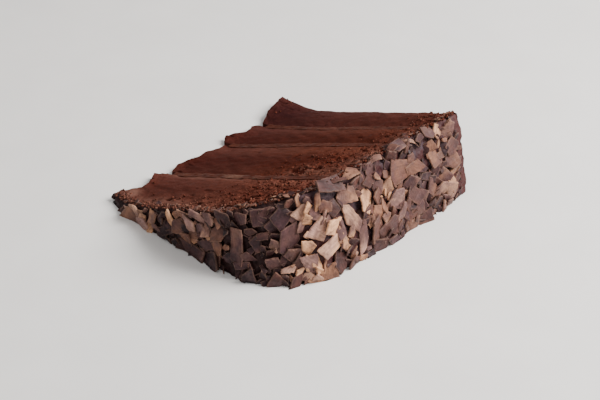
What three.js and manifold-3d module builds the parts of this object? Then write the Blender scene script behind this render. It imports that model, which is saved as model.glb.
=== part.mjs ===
// A slice of four-layer chocolate cake, lying on one of its two cut faces.
//
// Millimetres. +X runs from the slice's tip, on the cake's axis, out to the cake's side, +Y from
// the cake's top to its underside, and +Z up from the plate. The shapes are worked out with the
// cake's axis as X = 0, the level of its sponge's top as Y = 0 and the plate as Z = 0, and the
// whole slice is then moved so that the origin lies under the middle of its bounding box.

import * as THREE from 'three';
import { mergeVertices } from 'three/addons/utils/BufferGeometryUtils.js';
import Module from 'manifold-3d';

// Driving dimensions
const SLICE_ANGLE = THREE.MathUtils.degToRad(21); // between the two cut faces
const SPONGE_RADIUS = 99; // from the cake's axis to the sponge's side
const STACK_HEIGHT = 112; // from the sponge's top to the cake's underside
const SPONGE_BEVEL = 25; // how much of the sponge's top edge is worn away
const EDGE_FROSTING = 4; // thickness at the upper cut face
const PLATE_FROSTING = 4.6; // thickness at the plate, where the soft slice spreads
const FILLING_THICKNESS = 3.4;
const GAP = 0.3; // clearance between neighbouring pieces

// The cake's top dips towards its axis
const SPONGE_DIP = 6.5;
const DIP_REACH = 11;

// Middle of each filling, from the sponge's top, at the cake's axis and at its side
const SEAMS = [
  { atAxis: 31, atSide: 37 },
  { atAxis: 66, atSide: 75 },
  { atAxis: 89, atSide: 93 },
];
const SEAM_WAVE = 0.5;

// The sponge layers from the cake's top down. Their tips are broken off in ragged lobes: tips is
// how far the crumb stays short of the cake's axis at even steps from its upper to its lower
// seam, and blunt how thick it still is there at the two seams.
const SPONGES = [
  { name: 'sponge_1', tips: [0.5, 3, 6, 5, 2, -1, 3], blunt: [3.5, 2.4] },
  { name: 'sponge_2', tips: [3, 1, 2.5, 4, 3, 5, 3], blunt: [2.2, 2.2] },
  { name: 'sponge_3', tips: [1, -2, 0, 4, 3, 0.5, 2], blunt: [2.2, 2.2] },
  { name: 'sponge_4', tips: [1.5, 0, -2, -3, -4, -5.5, -6.5], blunt: [2.4, 5] },
];
const SPONGE_CROWN = 1.5; // how far the crumb swells between its seams
const CRAG_DEPTH = 0.4;

const FILLING_TIP = 5.5; // each filling stays this far short of the cake's axis
const FILLING_BLUNT = 2;
const FILLING_HOLLOW = -0.7; // the cream lies this far behind the crumb

const COAT_BLUNT = 3.3; // thickness through the slice at the tip
const COAT_DIP = 4.5; // how far the frosting's outer side dips at the axis
const COAT_BELLY = 3; // how much further it stands out at the plate halfway down the cake's side
const CORNER_FLATNESS = 0.7; // how much of the rounded top edge is worn flat at the upper cut face

// Chocolate flakes on the frosting. Along is the length along the frosting's outline, share is how
// far up from the lower cut face, and both angles are in degrees: spin turns a flake in the
// surface, lean tips it over the upper edge.
const PLACED_FLAKES = [
  // on the cake's top
  { along: 30, share: 0.68, length: 7, width: 5.5, spin: -98, lean: 0 },
  { along: 42, share: 0.79, length: 7, width: 6, spin: -90, lean: 0 },
  { along: 54, share: 0.7, length: 8, width: 6, spin: -102, lean: 0 },
  { along: 69, share: 0.41, length: 8.5, width: 6, spin: -97, lean: 0 },
  { along: 70, share: 0.64, length: 9, width: 5.5, spin: 42, lean: 0 },
  { along: 80, share: 0.52, length: 14, width: 10, spin: -96, lean: 0 },
  // round the top edge
  { along: 92, share: 0.62, length: 7, width: 3.5, spin: 8, lean: 0 },
  { along: 95, share: 0.28, length: 8, width: 6, spin: -56, lean: 0 },
  { along: 103, share: 0.58, length: 13, width: 8, spin: -119, lean: 0 },
  { along: 109, share: 0.82, length: 8, width: 6, spin: -69, lean: 0 },
  { along: 110, share: 0.42, length: 8, width: 6, spin: -49, lean: 0 },
  { along: 115, share: 0.58, length: 10, width: 9, spin: -48, lean: 0 },
  { along: 118, share: 0.88, length: 8, width: 3.5, spin: -90, lean: 0 },
  { along: 119, share: 0.34, length: 16, width: 7, spin: 18, lean: 0 },
  // on the cake's side
  { along: 124, share: 0.14, length: 9, width: 8, spin: -75, lean: 0 },
  { along: 125, share: 0.73, length: 8, width: 6, spin: -71, lean: 0 },
  { along: 127, share: 0.97, length: 17, width: 8, spin: -10, lean: -40 },
  { along: 133, share: 0.56, length: 14, width: 7, spin: -63, lean: 0 },
  { along: 138, share: 0.24, length: 14, width: 5.5, spin: -100, lean: 0 },
  { along: 139, share: 0.98, length: 8, width: 5, spin: -10, lean: -35 },
  { along: 143, share: 0.66, length: 12, width: 8, spin: -105, lean: 0 },
  { along: 147, share: 0.24, length: 11, width: 8, spin: -100, lean: 0 },
  { along: 152, share: 0.81, length: 5, width: 3, spin: -33, lean: 0 },
  { along: 166, share: 0.74, length: 14, width: 11, spin: -10, lean: 0 },
  { along: 168, share: 1, length: 9, width: 5, spin: 0, lean: -50 },
  { along: 187, share: 0.67, length: 8, width: 8, spin: 10, lean: 0 },
  { along: 187, share: 0.96, length: 9, width: 5, spin: -40, lean: -35 },
  { along: 198, share: 0.54, length: 10, width: 9, spin: 10, lean: 0 },
];
const PLACED_LIFT = [0.1, 0.5];
const PLACED_REACH = 0.45; // how far other flakes stay out of it, as a share of its length
// Patches of frosting that stay bare
const BARE_PATCHES = [
  { along: 75, share: 0.13, reach: 7 },
  { along: 88, share: 0.28, reach: 6 },
  { along: 155, share: 0.92, reach: 5.5 },
  { along: 179, share: 0.8, reach: 5.5 },
];
// Flakes scattered between them, largest first
const FLAKE_SEED = 2109;
const FLAKE_THICKNESS = 1.2;
const FLAKE_SORTS = [
  { count: 42, length: [8.5, 12], spacing: 7 },
  { count: 60, length: [6, 8.5], spacing: 4.8 },
  { count: 40, length: [3.5, 5.5], spacing: 3.8 },
];
const FLAKE_START = 8; // bare frosting from the tip to here
const FLAKE_END = 3; // bare frosting along the cake's underside
const FLAKE_INSET = 0.25; // from the upper cut face to a flake's middle, as a share of its length
const FLAKE_TRIES = 60;
const FLAKE_TILT = 0.42;
const FLAKE_RISE = 1.6; // how far tilting may raise a flake's end
const FLAKE_LIFT = [-0.1, 0.9]; // from the frosting's surface to a flake's middle
const FLAKE_WIDTH = [0.45, 0.9]; // as a share of its length
const CORNER_SHIFT = 0.6; // how unevenly a flake's corners are spread round it
const CORNER_REACH = [0.78, 1.1]; // how far out they lie, as a share of an even shard's

// Steps along the radius, across a layer and through the slice's thickness
const SPONGE_STEPS = [22, 6, 4];
const FILLING_STEPS = [20, 1, 4];
const COAT_STEPS = { top: 12, rounding: 8, side: 14, through: 1, thick: 4 };
const SETTLING_PASSES = 6; // for the two coordinates of the sponge's side to agree

const COLOURS = { sponge: 0x4b2419, filling: 0x5e3a2b, coat: 0x6a5046 };

const { lerp } = THREE.MathUtils;

// Random numbers from 0 to 1 that are the same on every run.
function seededRandom(seed) {
  let state = seed;
  return () => {
    state = (state + 0x6d2b79f5) | 0;
    let mixed = Math.imul(state ^ (state >>> 15), 1 | state);
    mixed = (mixed + Math.imul(mixed ^ (mixed >>> 7), 61 | mixed)) ^ mixed;
    return ((mixed ^ (mixed >>> 14)) >>> 0) / 4294967296;
  };
}

// The larger of a and b, rounded over where they meet.
function softMax(a, b) {
  const ease = 2;
  return (a + b + Math.hypot(a - b, ease)) / 2;
}

// Height of the upper cut face over the plate, at a distance from the cake's axis.
function faceHeight(distance, blunt) {
  return softMax(distance * Math.sin(SLICE_ANGLE), blunt);
}

// How far a surface on the cake's top dips, at a distance from the cake's axis.
function topDip(distance, dipDepth) {
  return dipDepth * Math.exp(-Math.max(distance, 0) / DIP_REACH);
}

// Distance from the axis to the sponge's side, at a depth below the sponge's top.
function spongeSide(depth) {
  return SPONGE_RADIUS - Math.max(SPONGE_BEVEL - depth, 0);
}

function seamDepth(seam, distance) {
  const wave = SEAM_WAVE * Math.sin(distance / 12 + seam.atAxis);
  return lerp(seam.atAxis, seam.atSide, distance / SPONGE_RADIUS) + wave;
}

// Unevenness of the cut crumb, from -1 to 1.
function crag(x, y) {
  return Math.sin(x * 0.83 + 1.3 * Math.sin(y * 0.47)) * Math.cos(y * 0.71 + 1.1 * Math.sin(x * 0.39));
}

// A closed solid: a box of unit size with the given steps, whose points, each coordinate from
// 0 to 1, are moved by place.
function mappedBox(steps, place) {
  const box = new THREE.BoxGeometry(1, 1, 1, ...steps);
  box.deleteAttribute('normal');
  box.deleteAttribute('uv');
  const geometry = mergeVertices(box);
  const points = geometry.getAttribute('position');
  for (let i = 0; i < points.count; i++) {
    const moved = place(points.getX(i) + 0.5, points.getY(i) + 0.5, points.getZ(i) + 0.5);
    points.setXYZ(i, moved.x, moved.y, moved.z);
  }
  return geometry;
}

// The point of the slice at a distance from the axis, a depth below the cake's top, and a share
// of the way from the lower cut face to the upper one, which is at the given height.
function slicePoint(distance, depth, share, height) {
  return new THREE.Vector3(distance * Math.cos(share * SLICE_ANGLE), depth, share * height);
}

function spongeLayer(layer, index) {
  const upper = SEAMS[index - 1];
  const lower = SEAMS[index];
  const half = (FILLING_THICKNESS + GAP) / 2;
  const near = (distance) => (upper ? seamDepth(upper, distance) + half : topDip(distance, SPONGE_DIP));
  const far = (distance) => (lower ? seamDepth(lower, distance) - half : STACK_HEIGHT);
  return mappedBox(SPONGE_STEPS, (along, across, share) => {
    const tip = layer.tips[Math.round(across * (layer.tips.length - 1))];
    let distance = lerp(tip, SPONGE_RADIUS, along);
    let depth = 0;
    for (let pass = 0; pass < SETTLING_PASSES; pass++) {
      depth = lerp(near(distance), far(distance), across);
      distance = lerp(tip, spongeSide(depth), along);
    }
    const swell = SPONGE_CROWN * (0.5 - (2 * across - 1) ** 2);
    const relief = swell + CRAG_DEPTH * crag(distance, depth);
    const height = faceHeight(distance, lerp(...layer.blunt, across)) + relief;
    return slicePoint(distance, depth, share, height);
  });
}

function fillingLayer(seam) {
  const half = (FILLING_THICKNESS - GAP) / 2;
  return mappedBox(FILLING_STEPS, (along, across, share) => {
    const distance = lerp(FILLING_TIP, SPONGE_RADIUS, along);
    const depth = seamDepth(seam, distance) + lerp(-half, half, across);
    const relief = FILLING_HOLLOW + 0.5 * CRAG_DEPTH * crag(distance, depth);
    return slicePoint(distance, depth, share, faceHeight(distance, FILLING_BLUNT) + relief);
  });
}

// The frosting's outline, followed from the tip over the cake's top, round the edge and down the
// side. Positions along it are lengths from the cake's axis.
const ROUNDING_START = SPONGE_RADIUS - SPONGE_BEVEL;
const SIDE_START = ROUNDING_START + ((SPONGE_BEVEL + PLATE_FROSTING) * Math.PI) / 2;
const OUTLINE_END = SIDE_START + STACK_HEIGHT - SPONGE_BEVEL;
const SIDE_RADIUS = SPONGE_RADIUS + PLATE_FROSTING;

// Outer side of the frosting: its distance and depth, and how far it has turned towards the side.
// Share goes from 0 at the lower cut face to 1 at the upper one.
function coatOutside(length, share) {
  const thickness = lerp(PLATE_FROSTING, EDGE_FROSTING, share);
  if (length < ROUNDING_START) {
    return { distance: length, depth: topDip(length, COAT_DIP) - thickness, turn: 0 };
  }
  const rounded = Math.min((length - ROUNDING_START) / (SIDE_START - ROUNDING_START), 1);
  const turn = (rounded * Math.PI) / 2;
  const flatness = CORNER_FLATNESS * share;
  const outward = lerp(Math.sin(turn), rounded, flatness);
  const upward = lerp(Math.cos(turn), 1 - rounded, flatness);
  const radius = SPONGE_BEVEL + thickness;
  const depth = SPONGE_BEVEL - radius * upward + Math.max(length - SIDE_START, 0);
  const belly = COAT_BELLY * (1 - share) * Math.max(Math.sin((Math.PI * depth) / STACK_HEIGHT), 0);
  return { distance: ROUNDING_START + (radius + belly) * outward, depth, turn };
}

// Inner side of the frosting, which follows the sponge: its top, its straight bevel and its side.
function coatInside(length) {
  const corner = GAP * (Math.SQRT2 - 1);
  const topEnd = ROUNDING_START + corner;
  const side = SPONGE_RADIUS + GAP;
  const bevelEnd = SPONGE_BEVEL - corner;
  if (length < ROUNDING_START) {
    const distance = (topEnd * length) / ROUNDING_START;
    return { distance, depth: topDip(distance, SPONGE_DIP) - GAP };
  }
  if (length < SIDE_START) {
    const rounded = (length - ROUNDING_START) / (SIDE_START - ROUNDING_START);
    return { distance: lerp(topEnd, side, rounded), depth: lerp(-GAP, bevelEnd, rounded) };
  }
  const along = (length - SIDE_START) / (OUTLINE_END - SIDE_START);
  return { distance: side, depth: lerp(bevelEnd, STACK_HEIGHT, along) };
}

// Where each step along the frosting's outline lies, closer together near the tip.
function outlineLength(step) {
  const { top, rounding, side } = COAT_STEPS;
  if (step <= top) return lerp(0, ROUNDING_START, (step / top) ** 1.5);
  if (step <= top + rounding) return lerp(ROUNDING_START, SIDE_START, (step - top) / rounding);
  return lerp(SIDE_START, OUTLINE_END, (step - top - rounding) / side);
}

function frostingShell() {
  const steps = COAT_STEPS.top + COAT_STEPS.rounding + COAT_STEPS.side;
  return mappedBox([steps, COAT_STEPS.through, COAT_STEPS.thick], (along, inward, share) => {
    const length = outlineLength(Math.round(along * steps));
    const outside = coatOutside(length, share);
    const inside = coatInside(length);
    const distance = lerp(outside.distance, inside.distance, inward);
    const depth = lerp(outside.depth, inside.depth, inward);
    return slicePoint(distance, depth, share, faceHeight(distance, COAT_BLUNT));
  });
}

// A flake has four or five corners.
function cornerCount(random) {
  return 4 + Math.floor(2 * random());
}

// An irregular shard with straight broken edges, lying flat round its own centre. Its corners are
// spread evenly round it from the start given, as a share of the way from one corner to the next.
function flakeShard(length, width, corners, start, random) {
  const outline = [];
  for (let corner = 0; corner < corners; corner++) {
    const angle = ((corner + start + CORNER_SHIFT * (random() - 0.5)) / corners) * 2 * Math.PI;
    const reach = lerp(...CORNER_REACH, random()) / 2 / Math.cos(Math.PI / corners);
    outline.push(new THREE.Vector2(length * reach * Math.cos(angle), width * reach * Math.sin(angle)));
  }
  const options = { depth: FLAKE_THICKNESS, bevelEnabled: false };
  const shard = new THREE.ExtrudeGeometry(new THREE.Shape(outline), options);
  return shard.translate(0, 0, -FLAKE_THICKNESS / 2);
}

// Moves a shard to its place on the frosting, a little tilted and partly sunk in.
function laidFlake(shard, size, place, lifts, random) {
  const { distance, depth, turn, share, spin, lean } = place;
  const angle = share * SLICE_ANGLE;
  const around = new THREE.Vector3(-Math.sin(angle), 0, Math.cos(angle));
  const along = new THREE.Vector3(Math.cos(angle), 0, Math.sin(angle)).multiplyScalar(Math.cos(turn));
  along.y = Math.sin(turn);
  const outward = new THREE.Vector3().crossVectors(along, around);
  const tilt = Math.min(FLAKE_TILT, (2 * FLAKE_RISE) / size);
  const tiltAlong = lean + tilt * (2 * random() - 1);
  const tiltAround = tilt * (2 * random() - 1);
  const centre = slicePoint(distance, depth, share, faceHeight(distance, COAT_BLUNT));
  centre.addScaledVector(outward, lerp(...lifts, random()));
  const matrix = new THREE.Matrix4().makeBasis(along, around, outward);
  const turned = new THREE.Matrix4().makeRotationFromEuler(new THREE.Euler(tiltAlong, tiltAround, spin));
  return shard.applyMatrix4(matrix.multiply(turned).setPosition(centre));
}

// Place on the frosting at a length along its outline and a share of the way up, with the reach
// round it that other flakes stay out of.
function coatPlace(along, share, reach) {
  const outside = coatOutside(along, share);
  const across = share * faceHeight(outside.distance, COAT_BLUNT);
  return { ...outside, share, along, across, reach };
}

// A random place on the frosting for a flake, or nothing where it would stand over the cut face
// or too close to the places taken.
function freePlace(size, spacing, taken, random) {
  const along = lerp(FLAKE_START, OUTLINE_END - FLAKE_END - size * 0.4, random());
  const across = random() * SIDE_RADIUS * Math.sin(SLICE_ANGLE);
  const height = faceHeight(coatOutside(along, 1).distance, COAT_BLUNT);
  const free = taken.every((other) => {
    return Math.hypot(other.along - along, other.across - across) > Math.max(spacing, other.reach);
  });
  if (!free || across > height - size * FLAKE_INSET) return undefined;
  return coatPlace(along, across / height, 0);
}

// The placed flakes, and others scattered evenly over the rest of the frosting.
function laidFlakes() {
  const random = seededRandom(FLAKE_SEED);
  const taken = BARE_PATCHES.map(({ along, share, reach }) => coatPlace(along, share, reach));
  const flakes = [];
  for (const { along, share, length, width, spin, lean } of PLACED_FLAKES) {
    const shard = flakeShard(length, width, cornerCount(random), 0.5, random);
    const place = coatPlace(along, share, PLACED_REACH * length + 1);
    place.spin = THREE.MathUtils.degToRad(spin);
    place.lean = THREE.MathUtils.degToRad(lean);
    taken.push(place);
    flakes.push(laidFlake(shard, length, place, PLACED_LIFT, random));
  }
  for (const sort of FLAKE_SORTS) {
    for (let n = 0; n < sort.count; n++) {
      const size = lerp(...sort.length, random());
      let place;
      for (let attempt = 0; attempt < FLAKE_TRIES && !place; attempt++) {
        place = freePlace(size, sort.spacing, taken, random);
      }
      if (!place) continue;
      const width = size * lerp(...FLAKE_WIDTH, random());
      const shard = flakeShard(size, width, cornerCount(random), random(), random);
      place.spin = 2 * Math.PI * random();
      place.lean = 0;
      taken.push(place);
      flakes.push(laidFlake(shard, size, place, FLAKE_LIFT, random));
    }
  }
  return flakes;
}

const wasm = await Module();
wasm.setup();

function solidFrom(geometry) {
  const bare = geometry.clone();
  bare.deleteAttribute('normal');
  bare.deleteAttribute('uv');
  const merged = mergeVertices(bare);
  const vertProperties = new Float32Array(merged.getAttribute('position').array);
  const triVerts = new Uint32Array(merged.getIndex().array);
  return new wasm.Manifold(new wasm.Mesh({ numProp: 3, vertProperties, triVerts }));
}

function geometryFrom(solid) {
  const mesh = solid.getMesh();
  const geometry = new THREE.BufferGeometry();
  geometry.setAttribute('position', new THREE.BufferAttribute(mesh.vertProperties, 3));
  geometry.setIndex(new THREE.BufferAttribute(mesh.triVerts, 1));
  geometry.computeVertexNormals();
  return geometry;
}

// The frosting with its flakes fused on, cut off level with the lower cut face. Of what the
// fusing leaves, only the one large body is kept: sealed hollows and loose scraps go.
function flakedCoat() {
  const reach = 4 * SIDE_RADIUS;
  const overPlate = new THREE.BoxGeometry(reach, reach, reach).translate(0, 0, reach / 2);
  const fused = solidFrom(frostingShell())
    .add(wasm.Manifold.union(laidFlakes().map(solidFrom)))
    .intersect(solidFrom(overPlate));
  const bodies = fused.decompose().sort((a, b) => b.volume() - a.volume());
  return geometryFrom(bodies[0]);
}

function piece(name, geometry, colour, roughness) {
  const material = new THREE.MeshStandardMaterial({ color: colour, roughness, metalness: 0 });
  const mesh = new THREE.Mesh(geometry, material);
  mesh.name = name;
  return mesh;
}

const slice = new THREE.Group();
SPONGES.forEach((layer, index) => {
  slice.add(piece(layer.name, spongeLayer(layer, index), COLOURS.sponge, 0.95));
});
SEAMS.forEach((seam, index) => {
  slice.add(piece(`filling_${index + 1}`, fillingLayer(seam), COLOURS.filling, 0.6));
});
slice.add(piece('frosting_coat', flakedCoat(), COLOURS.coat, 0.7));

const bounds = new THREE.Box3().setFromObject(slice);
const middle = bounds.getCenter(new THREE.Vector3());
slice.position.set(-middle.x, -middle.y, -bounds.min.z);

const chocolateCakeSlice = new THREE.Group();
chocolateCakeSlice.add(slice);

export default chocolateCakeSlice;
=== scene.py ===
import itertools
import math

import bpy
import numpy as np
from mathutils import Euler, Matrix, Vector


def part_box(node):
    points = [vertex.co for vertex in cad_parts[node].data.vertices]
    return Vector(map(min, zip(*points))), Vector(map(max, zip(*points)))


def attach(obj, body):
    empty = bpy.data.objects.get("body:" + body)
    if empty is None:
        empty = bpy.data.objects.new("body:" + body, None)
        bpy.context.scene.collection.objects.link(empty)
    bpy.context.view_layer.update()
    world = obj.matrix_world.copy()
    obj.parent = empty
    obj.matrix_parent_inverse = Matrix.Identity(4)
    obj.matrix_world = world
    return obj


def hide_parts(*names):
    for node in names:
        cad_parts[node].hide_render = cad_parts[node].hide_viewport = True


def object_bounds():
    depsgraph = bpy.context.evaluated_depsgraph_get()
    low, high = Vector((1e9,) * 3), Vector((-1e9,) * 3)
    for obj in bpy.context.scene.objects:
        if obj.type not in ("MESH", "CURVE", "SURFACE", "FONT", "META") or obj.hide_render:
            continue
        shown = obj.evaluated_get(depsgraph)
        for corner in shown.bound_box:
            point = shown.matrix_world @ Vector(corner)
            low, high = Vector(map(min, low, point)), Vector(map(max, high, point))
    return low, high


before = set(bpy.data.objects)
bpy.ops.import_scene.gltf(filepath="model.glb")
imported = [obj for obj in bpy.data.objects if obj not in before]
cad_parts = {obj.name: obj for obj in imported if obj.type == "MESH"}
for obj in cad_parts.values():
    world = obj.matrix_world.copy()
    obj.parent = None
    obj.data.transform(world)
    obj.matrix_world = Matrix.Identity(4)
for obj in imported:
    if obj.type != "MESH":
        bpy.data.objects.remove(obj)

CAD_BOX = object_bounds()

# The slice's driving dimensions, in millimetres, as the solids have them. Places are worked out
# with the cake's axis as x = 0, the level of its sponge's top as y = 0 and the plate as z = 0.
MM = 0.001
SLICE_ANGLE = math.radians(21)  # between the two cut faces
SPONGE_RADIUS = 99  # from the cake's axis to the sponge's side
STACK_HEIGHT = 112  # from the sponge's top to the cake's underside
SPONGE_BEVEL = 25  # how much of the sponge's top edge is worn away
EDGE_FROSTING = 4  # thickness at the upper cut face
PLATE_FROSTING = 4.6  # thickness at the plate
FILLING_THICKNESS = 3.4
GAP = 0.3  # clearance between neighbouring solids
SPONGE_DIP = 6.5  # of the sponge's top at the cake's axis
DIP_REACH = 11
# Middle of each filling, from the sponge's top, at the cake's axis and at its side
SEAMS = [(31, 37), (66, 75), (89, 93)]
SEAM_WAVE = 0.5
# The sponge layers: how far the crumb stays short of the cake's axis at even steps from the upper
# to the lower seam, and how thick it still is there at the two seams
SPONGES = [
    ("sponge_1", [0.5, 3, 6, 5, 2, -1, 3], (3.5, 2.4)),
    ("sponge_2", [3, 1, 2.5, 4, 3, 5, 3], (2.2, 2.2)),
    ("sponge_3", [1, -2, 0, 4, 3, 0.5, 2], (2.2, 2.2)),
    ("sponge_4", [1.5, 0, -2, -3, -4, -5.5, -6.5], (2.4, 5)),
]
SPONGE_CROWN = 1.5  # how far the crumb swells between its seams
CRAG_DEPTH = 0.4
FILLING_TIP = 5.5  # each filling stays this far short of the cake's axis
FILLING_BLUNT = 2
COAT_BLUNT = 3.3  # thickness through the slice at the tip
COAT_DIP = 4.5  # how far the frosting's outer side dips at the axis
COAT_BELLY = 3  # how much further it stands out at the plate halfway down the cake's side
CORNER_FLATNESS = 0.7  # how much of the rounded top edge is worn flat at the upper cut face

# How light the crumb is painted across each layer, as light and shade, from its upper to its lower seam,
# from 0 to 1
PAINTED_BANDS = [
    [(0, 0.8), (0.2, 0.72), (0.35, 0.55), (0.48, 0.3), (0.65, 0.48), (0.8, 0.66), (0.93, 0.85), (1, 0.8)],
    [(0, 0.4), (0.2, 0.26), (0.4, 0.05), (0.5, 0.1), (0.65, 0.45), (0.8, 0.78), (0.9, 0.7), (1, 0.25)],
    [(0, 0.25), (0.25, 0.12), (0.5, 0.28), (0.7, 0.5), (0.85, 0.6), (1, 0.42)],
    [(0, 0.3), (0.3, 0.22), (0.6, 0.35), (1, 0.38)],
]
# Where the crumb is painted paler as light, or darker as shade below 0: distance, depth, reach of both,
# and how much
CRUMB_LIGHT_AND_SHADE = [
    (5, 6.5, 4, 3.5, 0.8), (24, 3, 24, 2.8, 0.42), (20, 30, 24, 2, 0.3),
    (94, 38, 6, 9, 0.4), (95, 60, 6, 13, 0.35), (93, 80, 7, 8, 0.3),
    (84, 44, 13, 16, 0.13), (72, 42, 9, 6, 0.28), (6, 100, 18, 14, -0.75),
    (64, 53, 16, 8, -0.16),
]
# How purple each layer's crumb is, or how orange below 0.5, at distances from the cake's axis
HUES = [
    [(0, 0.7), (60, 0.45), (99, 0.55)],
    [(0, 0.75), (40, 0.5), (56, 0.1), (78, 0.1), (94, 0.5)],
    [(0, 0.85), (45, 0.45), (84, 0.2), (99, 0.4)],
    [(0, 1), (30, 0.85), (60, 0.65), (99, 0.55)],
]
# Where the crumb is most open, and how far that reaches
OPEN_MIDDLE = (82, 24)
OPEN_MIDDLE_REACH = (29, 37.7)
# How open it is by the frosting on side and top and at the tip, and how far that reaches
OPEN_BY_SIDE = (0.65, 17)
OPEN_BY_TOP = (0.8, 8)
OPEN_AT_TIP = (0.5, 7)
LEAST_OPEN = 0.1

# Flakes that have their place: length along the frosting's outline, share of the way up, length
# and width, spin and lean in degrees, as in the solids, and how light the flake is, from 0 to 1
PLACED_FLAKES = [
    (30, 0.68, 7, 5.5, -98, 0, 0.75),
    (42, 0.79, 7, 6, -90, 0, 1.0),
    (54, 0.7, 8, 6, -102, 0, 0.9),
    (69, 0.41, 8.5, 6, -97, 0, 0.5),
    (70, 0.64, 9, 5.5, 42, 0, 0.35),
    (80, 0.52, 14, 10, -96, 0, 0.38),
    (92, 0.62, 7, 3.5, 8, 0, 0.35),
    (95, 0.28, 8, 6, -56, 0, 0.45),
    (103, 0.58, 13, 8, -119, 0, 0.4),
    (109, 0.82, 8, 6, -69, 0, 1.0),
    (110, 0.42, 8, 6, -49, 0, 0.9),
    (115, 0.58, 10, 9, -48, 0, 1.0),
    (118, 0.88, 8, 3.5, -90, 0, 0.65),
    (119, 0.34, 16, 7, 18, 0, 1.0),
    (124, 0.14, 9, 8, -75, 0, 0.05),
    (125, 0.73, 8, 6, -71, 0, 0.1),
    (127, 0.97, 17, 8, -10, -40, 0.2),
    (133, 0.56, 14, 7, -63, 0, 0.78),
    (138, 0.24, 14, 5.5, -100, 0, 0.7),
    (139, 0.98, 8, 5, -10, -35, 0.6),
    (143, 0.66, 12, 8, -105, 0, 0.88),
    (147, 0.24, 11, 8, -100, 0, 0.45),
    (152, 0.81, 5, 3, -33, 0, 0.7),
    (166, 0.74, 14, 11, -10, 0, 0.4),
    (168, 1, 9, 5, 0, -50, 0.25),
    (187, 0.67, 8, 8, 10, 0, 0.55),
    (187, 0.96, 9, 5, -40, -35, 0.32),
    (198, 0.54, 10, 9, 10, 0, 0.47),
]
# Curled shavings on the upper edge: length along, share of the way up, length and width, spin and
# lean in degrees, how sharply they curl, and how light they are
CURLS = [
    (165, 1.01, 9.5, 3.6, 4, -62, -0.12, 0.45),
    (154, 1.0, 7, 2.4, -8, -55, -0.1, 0.7),
    (147, 0.98, 5, 2.6, 25, -55, -0.12, 0.3),
    (175, 0.98, 5, 3, -30, -45, -0.12, 0.75),
    (131, 0.99, 8, 2, -14, -50, -0.05, 0.25),
]
CURL_LIFT = (0.6, 1)
CURL_TILT = 0.1
PLACED_LIFT = (0.1, 0.5)
PLACED_REACH = 0.45  # how far other flakes stay away, as a share of its length
# Patches of frosting that stay bare: length along the outline, share of the way up and reach
BARE_PATCHES = [(75, 0.13, 7), (88, 0.28, 6), (155, 0.92, 5.5), (179, 0.8, 5.5)]
# How much lighter the other flakes are, or darker below 0, at lengths along the outline: partly their own
# tone, partly painted shade on the cake's rounded top edge and painted light where it turns to the side
TONES_ALONG = [
    (30, 0.02), (60, 0), (80, -0.18), (88, -0.36), (98, -0.4), (105, -0.1),
    (111, 0.9), (118, 0.5), (127, 0), (160, -0.06), (190, -0.16),
]
# How much the tones of neighbouring flakes differ, at lengths along the outline
TONE_SPREAD = [(104, 1.4), (125, 1.1), (160, 0.85)]
# Flakes are painted darker as shade beyond this length and this share of the way up
EDGE_SHADE_START = (125, 0.85)
EDGE_SHADE = 0.17
# Areas of lighter or darker flakes: length along, share of the way up, reach and shift; the darker ones
# low on the cake's top, from 35 to 90 along, are partly painted shade
TONE_AREAS = [
    (27, 0.6, 8, 0.2), (42, 0.45, 8, -0.5), (38, 0.2, 8, -0.2), (54, 0.1, 8, -0.3),
    (68, 0.1, 8, -0.35), (102, 0.12, 4, 0.3), (119, 0.08, 5, -0.35), (124, 0.14, 6, -0.35),
    (125, 0.75, 5, -0.35), (85, 0.25, 9, -0.35), (94, 0.8, 7, -0.25), (80, 0.8, 7, -0.2),
    (107, 0.96, 6.5, -0.55), (131, 0.8, 5, -0.3), (157, 0.55, 7, 0.3), (165, 0.85, 6, -0.15),
    (137, 0.15, 6, 0.25), (148, 0.18, 5, 0.1), (174, 0.2, 7, -0.1), (178, 0.85, 6, -0.2),
    (181, 0.5, 4, -0.3), (195, 0.35, 6, 0.2), (190, 0.9, 6, 0.15), (197, 0.93, 4.5, 0.5),
]
# The solids' scattered flakes, largest first: how many, their lengths and how far apart they lie
FLAKE_SORTS = [(42, (8.5, 12), 7), (60, (6, 8.5), 4.8), (40, (3.5, 5.5), 3.8)]
FLAKE_SEED = 2109
FLAKE_THICKNESS = 1.2
FLAKE_START = 8  # bare frosting from the tip to here
FLAKE_END = 3  # bare frosting along the cake's underside
FLAKE_INSET = 0.25  # from the upper cut face to a flake's middle, as a share of its length
FLAKE_TRIES = 60
FLAKE_TILT = 0.42
FLAKE_RISE = 1.6
FLAKE_LIFT = (-0.1, 0.9)
FLAKE_WIDTH = (0.45, 0.9)  # as a share of the length
CORNER_SHIFT = 0.6
CORNER_REACH = (0.78, 1.1)
# The flakes that the solids leave out: how many are tried, their lengths, how far apart they lie,
# how far off the frosting and how much they tilt
MEDIUM_FLAKES = {"count": 140, "lengths": (4, 7.5), "spacing": 3.1, "lifts": (-0.3, 0.5), "tilt": 0.6}
SMALL_FLAKES = {"count": 230, "lengths": (1.5, 3.8), "spacing": 1.9, "lifts": (-0.3, 0.3), "tilt": 0.9}
SHAVINGS = {"count": 70, "lengths": (3, 6.5), "spacing": 2.2, "lifts": (0, 0.8), "tilt": 1}
SHAVINGS_STRETCH = (62, 122)  # along the frosting's outline
EDGE_CHIPS = {"count": 120, "lengths": (1, 3.5)}
SMALL_FLAKE_SEED = 31
CHIP_SEED = 32
PLACED_EASE = 0.87  # of the reach of the flakes that have their place, for the smaller flakes
BARE_EASE = 0.6  # of the reach of the bare patches, for the smallest flakes
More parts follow.
